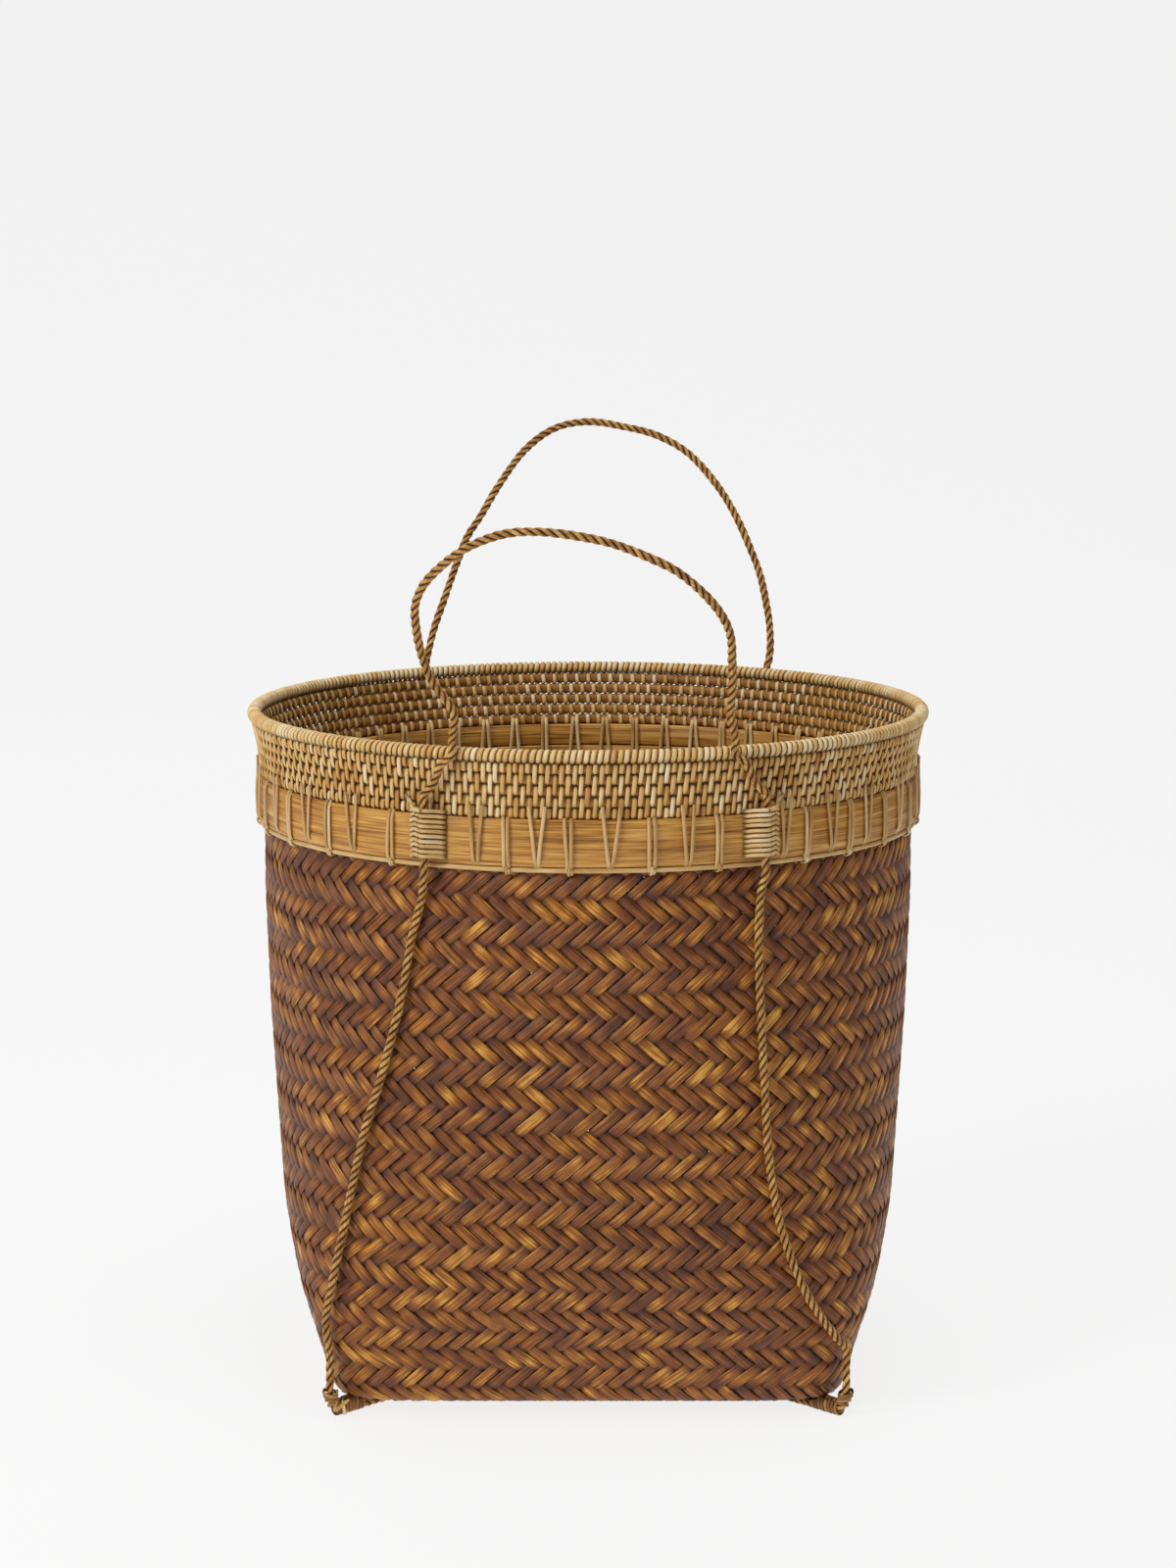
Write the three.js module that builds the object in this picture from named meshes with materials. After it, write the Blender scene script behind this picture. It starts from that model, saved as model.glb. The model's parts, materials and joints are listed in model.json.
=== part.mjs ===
// Plaited bamboo log basket: a round mouth over a squared base, a wrapped cane collar,
// two split bamboo bands, and two sling ropes that rise over the rim as hinged loop handles.
// Millimetres, +Z up, origin on the floor under the middle of the base, front at -Y.
import * as THREE from 'three';

// Body
const bodyRadius = 200;
const baseHalfWidth = 155;
const wallThickness = 3;
const wallHeight = 360.5;
const baseRise = 9.5;
const bodyTopBelowBand = 3;
const ringSegments = 40;

// Bands, ring and stitches
const bandHeight = 27.5;
const bandThickness = 3;
const bindingDiameter = 2.6;
const stitchCount = 60;
const stitchWidth = 4.6;
const stitchThickness = 2.2;

// Collar and rim
const collarHeight = 41;
const collarFlare = 6;
const collarRodCount = 5;
const collarRodDiameter = 3.6;
const collarWeaveThickness = 1;
const rimRodDiameter = 6;
const rimWrapThickness = 1.1;

// Ropes, lashings and handles
const ropeDiameter = 5.2;
const mostRopeSteps = 82;
const padWidth = 23;
const padHeight = 30;
const padAboveBand = 4.7;
const padWall = 2;
const footStandOff = 2.4;
const cornerLashingHeight = 14;
const cornerLashingRise = 9;
const cornerLashingWidth = 16;
const frontLean = THREE.MathUtils.degToRad(30);
const backLean = THREE.MathUtils.degToRad(22);
const hingeAboveRim = 4;
const hingeClearance = 7.8;

// Clearances
const gap = 0.3;
const ropeClearance = 0.8;
const stitchClearance = 0.6;
const baseClearance = 2.3;

// Heights and radii that follow from the sizes above
const baseZ = ropeDiameter + baseClearance;
const bandTop = baseZ + wallHeight;
const bandBottom = bandTop - bandHeight;
const padTop = bandTop + padAboveBand;
const padBottom = padTop - padHeight;
const rimTop = bandTop + collarHeight;
const rimTube = rimRodDiameter / 2 + gap + rimWrapThickness;
const rimZ = rimTop - rimTube;
const firstRodZ = bandTop + gap + collarRodDiameter / 2 + 1;
const bandOuterRadius = bodyRadius + gap + bandThickness;
const stitchOuterRadius = bandOuterRadius + stitchClearance + stitchThickness;
const collarRadius = bodyRadius - wallThickness / 2 + 1;
const collarHalf = collarRodDiameter / 2 + gap + collarWeaveThickness;
const ropeRadius = ropeDiameter / 2;
const hingeZ = rimTop + hingeAboveRim;
const domeEdge = baseHalfWidth * 0.7;
const domeShoulder = baseHalfWidth * 0.33;
const domeShoulderRise = 0.7;

// Wall outline: share of the height from the base to the band, share of the way from the base
// half-width to the body radius, and the exponent of the superellipse (2 is round).
const wallOutline = [
  [0, 0, 10],
  [0.039, 0.067, 9],
  [0.099, 0.222, 7],
  [0.191, 0.511, 4.4],
  [0.314, 0.744, 2.95],
  [0.467, 0.833, 2.6],
  [0.65, 0.933, 2.3],
  [0.865, 1, 2.1],
  [1, 1, 2],
];

// Where each lashing pad sits, in degrees from the middle of the near face.
const frontLeftPad = 26.7;
const frontRightPad = 29.2;
const backLeftPad = 35.2;
const backRightPad = 36.2;

// Sling routes on the wall: degrees from the middle of the near face, share of the way
// from floor to band bottom, and how far the rope stands off the wall.
const frontLeftRoute = [
  [27.8, 0.94, 0.4], [29.5, 0.87, 0.2], [31.4, 0.765, 0.2], [35, 0.625, 0.3],
  [38.4, 0.515, 0.4], [41.6, 0.37, 0.5], [43.4, 0.25, 1], [44.8, 0.17, 1.8],
];
const frontRightRoute = [
  [29.1, 0.945, 0.4], [28.5, 0.87, 0.2], [28.8, 0.75, 0.2], [29.5, 0.615, 0.2],
  [30.4, 0.48, 0.3], [32.6, 0.355, 0.5], [36.6, 0.24, 0.9], [41.6, 0.16, 1.6],
];
const backLeftRoute = [
  [35.4, 0.94, 0.4], [35.6, 0.85, 0.2], [36.8, 0.7, 0.2], [38.8, 0.55, 0.3],
  [41, 0.4, 0.4], [43, 0.27, 0.8], [44.6, 0.17, 1.8],
];
const backRightRoute = [
  [36, 0.94, 0.4], [35.4, 0.85, 0.2], [36.2, 0.7, 0.2], [37.9, 0.55, 0.3],
  [40.2, 0.4, 0.4], [42.4, 0.27, 0.8], [44.4, 0.17, 1.8],
];

// Where a sling rope turns under a corner of the base: height, and how far in from the corner line.
const footTurn = [[42, 0], [31, 0], [14, 0], [8, 1.8], [4.4, 5], [ropeRadius, 10], [ropeRadius, 24]];

// Loop handles, flat in their own plane: sideways from the middle, and up from the hinge.
const frontLoop = [
  [-77, 0], [-76, 20], [-87, 41], [-92.5, 59], [-95.5, 80], [-95.5, 95], [-91, 108], [-81, 121],
  [-66, 134], [-46, 143], [-28, 144.5], [-8, 142], [12, 137], [30, 129], [48, 118.5], [62, 105],
  [73, 90], [79, 75], [80.5, 55], [81, 35], [80.5, 18], [84, 0],
];
const backLoop = [
  [-107, 0], [-102, 22], [-95.5, 42], [-88, 65], [-80, 86], [-72.5, 98], [-59, 122], [-41, 147],
  [-22, 161], [0, 165.5], [24, 162], [46, 156], [67, 143.5], [87, 120], [99, 99], [108.4, 76.5],
  [114.5, 59], [118, 42], [120.5, 25], [121, 10], [120, 0],
];

const basket = new THREE.Group();

function addPiece(name, geometry, colour, roughness) {
  const material = new THREE.MeshStandardMaterial({ color: colour, roughness, metalness: 0 });
  const mesh = new THREE.Mesh(geometry, material);
  mesh.name = name;
  basket.add(mesh);
  return mesh;
}

// Value of one outline column at a share of the height.
function outlineAt(share, column) {
  const above = wallOutline.findIndex((row) => row[0] >= share);
  if (above < 0) return wallOutline[wallOutline.length - 1][column];
  if (above === 0) return wallOutline[0][column];
  const low = wallOutline[above - 1];
  const high = wallOutline[above];
  return THREE.MathUtils.mapLinear(share, low[0], high[0], low[column], high[column]);
}

function shareOfWall(z) {
  return (z - baseZ) / (bandBottom - baseZ);
}

function squareness(z) {
  return outlineAt(shareOfWall(z), 2);
}

function halfWidth(z) {
  return THREE.MathUtils.lerp(baseHalfWidth, bodyRadius, outlineAt(shareOfWall(z), 1));
}

// How much a circle of radius 1 is pushed out at this angle to become the superellipse.
function squareFactor(angle, exponent) {
  const across = Math.abs(Math.cos(angle)) ** exponent;
  const along = Math.abs(Math.sin(angle)) ** exponent;
  return (across + along) ** (-1 / exponent);
}

function wallRadius(angle, z) {
  return halfWidth(z) * squareFactor(angle, squareness(z));
}

function collarRadiusAt(z) {
  const share = THREE.MathUtils.clamp((z - firstRodZ) / (rimZ - firstRodZ), 0, 1);
  return collarRadius + collarFlare * share ** 1.5;
}

// Turns a closed [radius, z] profile round the Z axis.
function turned(profile) {
  const points = profile.map(([radius, z]) => new THREE.Vector2(radius, z));
  return new THREE.LatheGeometry(points, ringSegments).rotateX(Math.PI / 2);
}

function turnedBox(innerRadius, outerRadius, bottom, top) {
  return turned([
    [innerRadius, bottom],
    [outerRadius, bottom],
    [outerRadius, top],
    [innerRadius, top],
    [innerRadius, bottom],
  ]);
}

function turnedRod(radius, z, diameter, sides) {
  const profile = [];
  for (let i = 0; i <= sides; i++) {
    const turn = ((i % sides) / sides) * 2 * Math.PI;
    profile.push([radius + (diameter / 2) * Math.cos(turn), z + (diameter / 2) * Math.sin(turn)]);
  }
  return turned(profile);
}

function buildBody() {
  const profile = [[0, baseZ + baseRise]];
  const bottomRound = 4;
  profile.push([domeShoulder, baseZ + baseRise * domeShoulderRise]);
  profile.push([domeEdge, baseZ]);
  profile.push([baseHalfWidth - bottomRound, baseZ]);
  const walls = wallOutline.slice(1).map((row) => THREE.MathUtils.lerp(baseZ, bandBottom, row[0]));
  const bodyTop = bandTop - bodyTopBelowBand;
  walls.unshift(baseZ + bottomRound);
  walls.push(bodyTop);
  walls.forEach((z) => profile.push([halfWidth(z), z]));
  walls.slice(1).reverse().forEach((z) => profile.push([halfWidth(z) - wallThickness, z]));
  const floorZ = baseZ + wallThickness;
  profile.push([baseHalfWidth - wallThickness - bottomRound, floorZ]);
  profile.push([domeEdge, floorZ]);
  profile.push([domeShoulder, floorZ + baseRise * domeShoulderRise]);
  profile.push([0, floorZ + baseRise]);
  const geometry = turned(profile);
  const place = geometry.attributes.position;
  for (let i = 0; i < place.count; i++) {
    const angle = Math.atan2(place.getY(i), place.getX(i));
    const push = squareFactor(angle, squareness(place.getZ(i)));
    place.setXY(i, place.getX(i) * push, place.getY(i) * push);
  }
  addPiece('woven_body', geometry, 0x7a4a24, 0.55);
}

function buildBands() {
  const innerBandOuter = bodyRadius - wallThickness - gap;
  const innerBandInner = innerBandOuter - bandThickness;
  addPiece('outer_band', turnedBox(bodyRadius + gap, bandOuterRadius, bandBottom, bandTop), 0xc38c4b, 0.5);
  addPiece('inner_band', turnedBox(innerBandInner, innerBandOuter, bandBottom, bandTop), 0xc38c4b, 0.5);
  const bindingZ = bandBottom - gap - bindingDiameter / 2;
  const bindingRadius = bodyRadius + gap + bindingDiameter / 2;
  addPiece('lower_binding_ring', turnedRod(bindingRadius, bindingZ, bindingDiameter, 6), 0xd7af73, 0.5);
  buildStitching('outer_stitching', bandOuterRadius + stitchClearance, bindingZ - bindingDiameter / 2);
  const innerStitchOuter = innerBandInner * Math.cos(Math.PI / ringSegments) - gap;
  buildStitching('inner_stitching', innerStitchOuter - stitchThickness, bandBottom);
}

// One strand that runs up and down over a band all the way round, drawn flat and then bent to the ring.
function buildStitching(name, innerRadius, bottom) {
  const pitch = (2 * Math.PI * bodyRadius) / stitchCount;
  const top = bandTop;
  const under = [];
  const over = [];
  for (let i = 0; i < stitchCount; i++) {
    const left = (i + 0.5) * pitch - stitchWidth / 2;
    const right = left + stitchWidth;
    if (i % 2 === 0) {
      under.push([right, bottom], [right, top - stitchThickness]);
      over.push([left, bottom + stitchThickness], [left, top]);
    } else {
      under.push([left, top - stitchThickness], [left, bottom]);
      over.push([right, top], [right, bottom + stitchThickness]);
    }
  }
  const start = [over[0][0], bottom];
  const end = [over[over.length - 1][0], bottom];
  const outline = [start, ...under, end, ...over.slice(1, -1).reverse()];
  const shape = new THREE.Shape(outline.map(([along, z]) => new THREE.Vector2(along, z)));
  const options = { depth: stitchThickness, steps: 1, bevelEnabled: false, curveSegments: 1 };
  const geometry = new THREE.ExtrudeGeometry(shape, options);
  const place = geometry.attributes.position;
  for (let i = 0; i < place.count; i++) {
    const angle = place.getX(i) / bodyRadius;
    const radius = innerRadius + place.getZ(i);
    place.setXYZ(i, radius * Math.sin(angle), -radius * Math.cos(angle), place.getY(i));
  }
  addPiece(name, geometry, 0xd7af73, 0.5);
}

function buildCollar() {
  const pitch = (rimZ - firstRodZ) / collarRodCount;
  for (let i = 0; i < collarRodCount; i++) {
    const z = firstRodZ + i * pitch;
    addPiece(`collar_rod_${i + 1}`, turnedRod(collarRadiusAt(z), z, collarRodDiameter, 4), 0xb98850, 0.55);
  }
  const bottom = bandTop + gap;
  const top = rimZ - rimRodDiameter / 2 - gap;
  const levels = [0, 0.35, 0.65, 1].map((share) => THREE.MathUtils.lerp(bottom, top, share));
  const skin = (near, far) => {
    const profile = levels.map((z) => [collarRadiusAt(z) + far, z]);
    levels.slice().reverse().forEach((z) => profile.push([collarRadiusAt(z) + near, z]));
    profile.push(profile[0]);
    return turned(profile);
  };
  const skinStart = collarHalf - collarWeaveThickness;
  addPiece('collar_weave_outer', skin(skinStart, collarHalf), 0xcda56e, 0.5);
  addPiece('collar_weave_inner', skin(-collarHalf, -skinStart), 0xcda56e, 0.5);
  const rimRadius = collarRadiusAt(rimZ);
  addPiece('rim_rod', turnedRod(rimRadius, rimZ, rimRodDiameter, 6), 0xb98850, 0.55);
  const wrap = [];
  const wrapSteps = 6;
  const arc = (radius, from, to) => {
    for (let i = 0; i <= wrapSteps; i++) {
      const turn = THREE.MathUtils.degToRad(THREE.MathUtils.lerp(from, to, i / wrapSteps));
      wrap.push([rimRadius + radius * Math.cos(turn), rimZ + radius * Math.sin(turn)]);
    }
  };
  arc(rimTube, -22, 202);
  arc(rimTube - rimWrapThickness, 202, -22);
  wrap.push(wrap[0]);
  addPiece('rim_wrap', turned(wrap), 0xcda56e, 0.5);
}

// A rope's centre line. Its section keeps one flat towards the side vector all the way, and its
// steps follow the chosen points, so a tight bend gets as many as a long straight stretch.
class RopeLine extends THREE.CatmullRomCurve3 {
  constructor(points, side) {
    super(points, false, 'centripetal');
    this.side = side;
  }

  getSpacedPoints(steps) {
    return this.getPoints(steps);
  }

  computeFrenetFrames(steps) {
    const frames = { tangents: [], normals: [], binormals: [] };
    for (let i = 0; i <= steps; i++) {
      const tangent = this.getTangent(i / steps);
      const binormal = this.side.clone().addScaledVector(tangent, -this.side.dot(tangent)).normalize();
      frames.tangents.push(tangent);
      frames.binormals.push(binormal);
      frames.normals.push(new THREE.Vector3().crossVectors(binormal, tangent));
    }
    return frames;
  }
}

function ropeGeometry(points, side) {
  const sides = 8;
  const corner = ropeRadius / Math.cos(Math.PI / sides);
  const section = [];
  for (let i = 0; i < sides; i++) {
    const turn = ((i + 0.5) / sides) * 2 * Math.PI;
    section.push(new THREE.Vector2(corner * Math.cos(turn), corner * Math.sin(turn)));
  }
  const extrudePath = new RopeLine(points, side);
  const steps = Math.min(mostRopeSteps, (points.length - 1) * 2);
  return new THREE.ExtrudeGeometry(new THREE.Shape(section), { steps, extrudePath });
}

// A point at so many degrees from the front (or the back), clockwise seen from above when positive at
// the front, with radius and height given.
function aroundPoint(degrees, radius, z, facing) {
  const angle = THREE.MathUtils.degToRad(degrees);
  return new THREE.Vector3(radius * Math.sin(angle), facing * radius * Math.cos(angle), z);
}

function besideRim() {
  return collarRadiusAt(rimZ) + rimTube + ropeRadius + ropeClearance;
}

// How far a loop's hinge line lies from the middle, so that both its ends stand just outside the rim.
function hingeDistance(ends) {
  const sideways = (Math.abs(ends[0]) + Math.abs(ends[1])) / 2;
  return Math.sqrt(besideRim() ** 2 - sideways ** 2);
}

// From the hinge over the rim, down through the pad and along the wall to the corner of the base.
function slingLeg(padDegrees, route, hand, facing, hingeX, hingeY) {
  const padRadius = stitchOuterRadius + ropeRadius + ropeClearance;
  const rimDegrees = THREE.MathUtils.radToDeg(Math.atan2(Math.abs(hingeX), Math.abs(hingeY)));
  const besideCollar = (z) => collarRadiusAt(z) + collarHalf + ropeRadius + ropeClearance;
  const between = (share) => THREE.MathUtils.lerp(padDegrees, rimDegrees, share);
  const over = (share) => THREE.MathUtils.lerp(bandTop, rimTop, share);
  const leg = [
    [rimDegrees, besideRim(), hingeZ - hingeClearance],
    [between(0.68), besideRim(), over(0.76)],
    [between(0.32), Math.max(besideCollar(over(0.46)), padRadius), over(0.46)],
    ...[padTop + 7, padTop, padBottom, padBottom - 8].map((z) => [padDegrees, padRadius, z]),
  ];
  for (const [degrees, share, stand] of route) {
    const z = THREE.MathUtils.lerp(0, bandBottom, share);
    const wall = wallRadius(THREE.MathUtils.degToRad(90 - degrees), z);
    leg.push([degrees, wall + ropeRadius + ropeClearance + stand, z]);
  }
  const foot = footRadius();
  footTurn.forEach(([z, inward]) => leg.push([45, foot - inward, z]));
  return leg.map(([degrees, radius, z]) => aroundPoint(hand * degrees, radius, z, facing));
}

// Where a sling rope comes down at a corner of the base, clear of the corner above it.
function footRadius() {
  const corner = wallRadius(Math.PI / 4, baseZ + 30);
  return corner + ropeRadius + ropeClearance + footStandOff;
}

function buildSling(name, hand, archHeight, startLeg, endLeg) {
  const start = slingLeg(startLeg.pad, startLeg.route, hand, -1, startLeg.hingeX, frontHingeY);
  const end = slingLeg(endLeg.pad, endLeg.route, -hand, 1, endLeg.hingeX, backHingeY);
  const middle = [];
  for (const share of [-0.36, -0.14, 0, 0.14, 0.36]) {
    const along = share * 1.8 * footRadius() * Math.SQRT1_2;
    const lift = archHeight * Math.exp(-((share / 0.12) ** 2));
    middle.push(new THREE.Vector3(-hand * along, along, ropeRadius + lift));
  }
  const side = new THREE.Vector3(1, hand, 0).normalize();
  addPiece(name, ropeGeometry([...start, ...middle, ...end.reverse()], side), 0x9a6a38, 0.7);
}

function buildHandle(name, loop, facing, hingeY, lean) {
  const up = new THREE.Vector3(0, facing * Math.sin(lean), Math.cos(lean));
  const points = loop.map(([x, rise]) => new THREE.Vector3(x, hingeY, hingeZ).addScaledVector(up, rise));
  const side = new THREE.Vector3(1, 0, 0).cross(up);
  addPiece(name, ropeGeometry(points, side), 0x9a6a38, 0.7);
}

// A lashing bound over a rope: a rounded cap with a channel, open towards the wall.
function buildLashing(name, degrees, facing, seatRadius, seatDepth, bottom, height, width) {
  const channel = ropeRadius / Math.cos(Math.PI / 8) + ropeClearance / 2;
  const crown = seatDepth + channel + padWall;
  const shape = new THREE.Shape();
  shape.moveTo(width / 2, 0);
  shape.lineTo(width / 2, crown * 0.35);
  shape.quadraticCurveTo(width / 2, crown, 0, crown);
  shape.quadraticCurveTo(-width / 2, crown, -width / 2, crown * 0.35);
  shape.lineTo(-width / 2, 0);
  shape.lineTo(-channel, 0);
  shape.lineTo(-channel, seatDepth);
  shape.absarc(0, seatDepth, channel, Math.PI, 0, true);
  shape.lineTo(channel, 0);
  const settings = { depth: height, bevelEnabled: false, curveSegments: 6 };
  const geometry = new THREE.ExtrudeGeometry(shape, settings);
  const mesh = addPiece(name, geometry, 0xd7af73, 0.5);
  const outward = aroundPoint(degrees, seatRadius, bottom, facing);
  mesh.position.copy(outward);
  mesh.rotation.z = Math.atan2(outward.y, outward.x) - Math.PI / 2;
}

const frontEnds = [frontLoop[0][0], frontLoop[frontLoop.length - 1][0]];
const backEnds = [backLoop[0][0], backLoop[backLoop.length - 1][0]];
const frontHingeY = -hingeDistance(frontEnds);
const backHingeY = hingeDistance(backEnds);

buildBody();
buildBands();
buildCollar();
const frontLeftLeg = { pad: frontLeftPad, route: frontLeftRoute, hingeX: frontEnds[0] };
const frontRightLeg = { pad: frontRightPad, route: frontRightRoute, hingeX: frontEnds[1] };
const backLeftLeg = { pad: backLeftPad, route: backLeftRoute, hingeX: backEnds[0] };
const backRightLeg = { pad: backRightPad, route: backRightRoute, hingeX: backEnds[1] };
buildSling('sling_rope_a', -1, 0, frontLeftLeg, backRightLeg);
buildSling('sling_rope_b', 1, ropeDiameter + ropeClearance, frontRightLeg, backLeftLeg);
buildHandle('front_handle_rope', frontLoop, -1, frontHingeY, frontLean);
buildHandle('back_handle_rope', backLoop, 1, backHingeY, backLean);

const padSeat = stitchOuterRadius + gap;
const padDepth = ropeRadius + ropeClearance - gap;
const cornerSeat = ropeRadius + 1;
const cornerBottom = baseZ + cornerLashingRise;
const places = [
  ['front_left', -frontLeftPad, -45, -1],
  ['front_right', frontRightPad, 45, -1],
  ['back_left', -backLeftPad, -45, 1],
  ['back_right', backRightPad, 45, 1],
];
for (const [place, padDegrees, cornerDegrees, facing] of places) {
  const pad = `lashing_pad_${place}`;
  buildLashing(pad, padDegrees, facing, padSeat, padDepth, padBottom, padHeight, padWidth);
  const corner = `corner_lashing_${place}`;
  const seat = footRadius() - cornerSeat;
  buildLashing(corner, cornerDegrees, facing, seat, cornerSeat, cornerBottom,
    cornerLashingHeight, cornerLashingWidth);
}

export default basket;
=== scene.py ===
import json
import math
import random

import bmesh
import bpy
import numpy as np
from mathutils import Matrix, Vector


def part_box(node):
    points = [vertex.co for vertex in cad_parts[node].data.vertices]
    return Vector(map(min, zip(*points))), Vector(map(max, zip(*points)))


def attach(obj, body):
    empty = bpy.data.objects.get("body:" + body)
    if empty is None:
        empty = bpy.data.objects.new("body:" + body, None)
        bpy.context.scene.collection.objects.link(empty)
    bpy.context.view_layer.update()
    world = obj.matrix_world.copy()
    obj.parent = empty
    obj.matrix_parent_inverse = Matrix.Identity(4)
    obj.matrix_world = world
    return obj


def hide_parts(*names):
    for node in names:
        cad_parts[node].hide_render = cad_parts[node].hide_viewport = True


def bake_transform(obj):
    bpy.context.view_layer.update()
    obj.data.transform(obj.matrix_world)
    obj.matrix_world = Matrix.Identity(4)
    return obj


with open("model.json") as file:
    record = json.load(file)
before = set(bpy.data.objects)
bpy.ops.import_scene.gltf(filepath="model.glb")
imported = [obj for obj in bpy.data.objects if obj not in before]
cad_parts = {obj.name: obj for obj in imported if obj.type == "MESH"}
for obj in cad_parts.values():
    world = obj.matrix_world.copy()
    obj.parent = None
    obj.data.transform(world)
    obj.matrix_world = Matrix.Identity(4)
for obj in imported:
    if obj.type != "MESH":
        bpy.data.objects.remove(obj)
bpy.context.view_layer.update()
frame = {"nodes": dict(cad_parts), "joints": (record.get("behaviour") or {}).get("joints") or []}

chance = np.random.default_rng(11)
random.seed(11)
print("frame loaded:", len(frame["nodes"]), "nodes")

# Sizes that come from the frame, in metres. The front of the basket faces -Y.
bodyLow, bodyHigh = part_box("woven_body")
bandLow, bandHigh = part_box("outer_band")
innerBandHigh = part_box("inner_band")[1]
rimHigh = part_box("rim_wrap")[1]
padLow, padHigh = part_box("lashing_pad_front_left")
rodLow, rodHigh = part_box("rim_rod")
rodBoxes = [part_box(f"collar_rod_{i}") for i in range(1, 6)]
baseZ = bodyLow.z
bandBottom = bandLow.z
bandTop = bandHigh.z
padBottom = padLow.z
padTop = padHigh.z
rimTop = rimHigh.z
bodyRadius = bodyHigh.x
bandRadius = bandHigh.x
hinges = {joint["child"]: joint for joint in frame["joints"]}
bpy.context.scene.view_settings.view_transform = "Standard"


def deselectAll():
    if bpy.context.mode != "OBJECT":
        bpy.ops.object.mode_set(mode="OBJECT")
    for other in bpy.context.selected_objects:
        other.select_set(False)


# Materials
def linear(hexText, strength=1.0):
    # sRGB hex to linear colour
    parts = [int(hexText[i:i + 2], 16) / 255 for i in (1, 3, 5)]
    shades = [p / 12.92 if p <= 0.04045 else ((p + 0.055) / 1.055) ** 2.4 for p in parts]
    return (*[shade * strength for shade in shades], 1.0)


def addNode(material, kind, inputs=None, **settings):
    node = material.node_tree.nodes.new(kind)
    for key, value in settings.items():
        setattr(node, key, value)
    for key, value in (inputs or {}).items():
        socket = node.inputs[key]
        if isinstance(value, bpy.types.NodeSocket):
            material.node_tree.links.new(value, socket)
        else:
            socket.default_value = value
    return node


def setRamp(ramp, stops):
    elements = ramp.color_ramp.elements
    while len(elements) < len(stops):
        elements.new(0.5)
    for element, (place, hexText) in zip(elements, stops):
        element.position = place
        element.color = linear(hexText)


def plantStrand(name, stops, grain, gloss, shading, coat=0.0):
    # Split bamboo, rattan skin and cane share one build: long fibres, a tint for each strand,
    # lighter where it stands proud (wear and painted highlight), painted shade where it dives under its
    # neighbours and towards its edges.
    material = bpy.data.materials.new(name)
    material.use_nodes = True
    shader = material.node_tree.nodes["Principled BSDF"]
    strand = addNode(material, "ShaderNodeUVMap", uv_map="strand").outputs["UV"]
    tint = addNode(material, "ShaderNodeAttribute", attribute_name="tint").outputs["Fac"]
    lift = addNode(material, "ShaderNodeAttribute", attribute_name="lift").outputs["Fac"]

    def strandNoise(across, lengthMm, detail):
        place = addNode(material, "ShaderNodeMapping", {
            "Vector": strand, "Scale": (across, 1000 / lengthMm, 1)})
        return addNode(material, "ShaderNodeTexNoise", {
            "Vector": place.outputs["Vector"], "Scale": 1.0, "Detail": detail, "Roughness": 0.6},
            noise_dimensions="2D").outputs["Fac"]

    fibres = strandNoise(grain["across"], grain["lengthMm"], 3.0)
    patches = strandNoise(grain["patchAcross"], grain["patchMm"], 1.0)
    total = addNode(material, "ShaderNodeMath", {
        0: fibres, 1: grain["fibre"]}, operation="MULTIPLY").outputs[0]
    # The lift share lightens proud parts, wear and painted highlight together, and darkens diving parts as
    # painted shade.
    for source, share in ((patches, grain["patch"]), (tint, grain["tint"]), (lift, grain["wearAndPaintedLight"])):
        total = addNode(material, "ShaderNodeMath", {
            0: source, 1: share, 2: total}, operation="MULTIPLY_ADD").outputs[0]
    middle = 0.5 * (grain["fibre"] + grain["patch"] + grain["tint"]) + 0.4 * grain["wearAndPaintedLight"]
    level = addNode(material, "ShaderNodeMapRange", {
        "Value": total, "From Min": middle - grain["spread"], "From Max": middle + grain["spread"]})
    ramp = addNode(material, "ShaderNodeValToRGB", {"Fac": level.outputs["Result"]})
    setRamp(ramp, stops)
    # Painted shade: the colour is darkened where the strand dives under its neighbours, towards its edges and
    # in the rope's grooves.
    shade = addNode(material, "ShaderNodeMapRange", {
        "Value": lift, "From Min": shading["low"], "From Max": shading["high"], "To Min": shading["dark"],
        "To Max": 1.0}, interpolation_type="SMOOTHSTEP")
    shaded = addNode(material, "ShaderNodeVectorMath", {
        "Vector": ramp.outputs["Color"], "Scale": shade.outputs["Result"]}, operation="SCALE")
    material.node_tree.links.new(shaded.outputs["Vector"], shader.inputs["Base Color"])
    rough = addNode(material, "ShaderNodeMapRange", {
        "Value": fibres, "From Min": 0.3, "From Max": 0.7, "To Min": gloss["roughness"] - 0.07,
        "To Max": gloss["roughness"] + 0.1})
    material.node_tree.links.new(rough.outputs["Result"], shader.inputs["Roughness"])
    bump = addNode(material, "ShaderNodeBump", {
        "Height": fibres, "Strength": gloss["bump"], "Distance": 0.0004})
    material.node_tree.links.new(bump.outputs["Normal"], shader.inputs["Normal"])
    shader.inputs["IOR"].default_value = 1.5
    shader.inputs["Coat Weight"].default_value = coat
    shader.inputs["Coat Roughness"].default_value = 0.3
    return material


# Smoked bamboo strip: split and smoked over a fire, brown with golden fibres and a soft skin gloss, with
# painted highlight on the crown of each float and painted shade where it dives
smokedBamboo = plantStrand(
    "smoked bamboo strip",
    [(0.0, "#3a1a06"), (0.3, "#622f0a"), (0.55, "#854810"), (0.8, "#b06e1a"), (1.0, "#e4a845")],
    {"across": 16, "lengthMm": 24, "patchAcross": 0.7, "patchMm": 17, "fibre": 1.0, "patch": 0.75,
     "tint": 0.2, "wearAndPaintedLight": 0.16, "spread": 0.42},
    {"roughness": 0.52, "bump": 0.55}, {"low": -0.45, "high": 0.5, "dark": 0.22})
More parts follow.
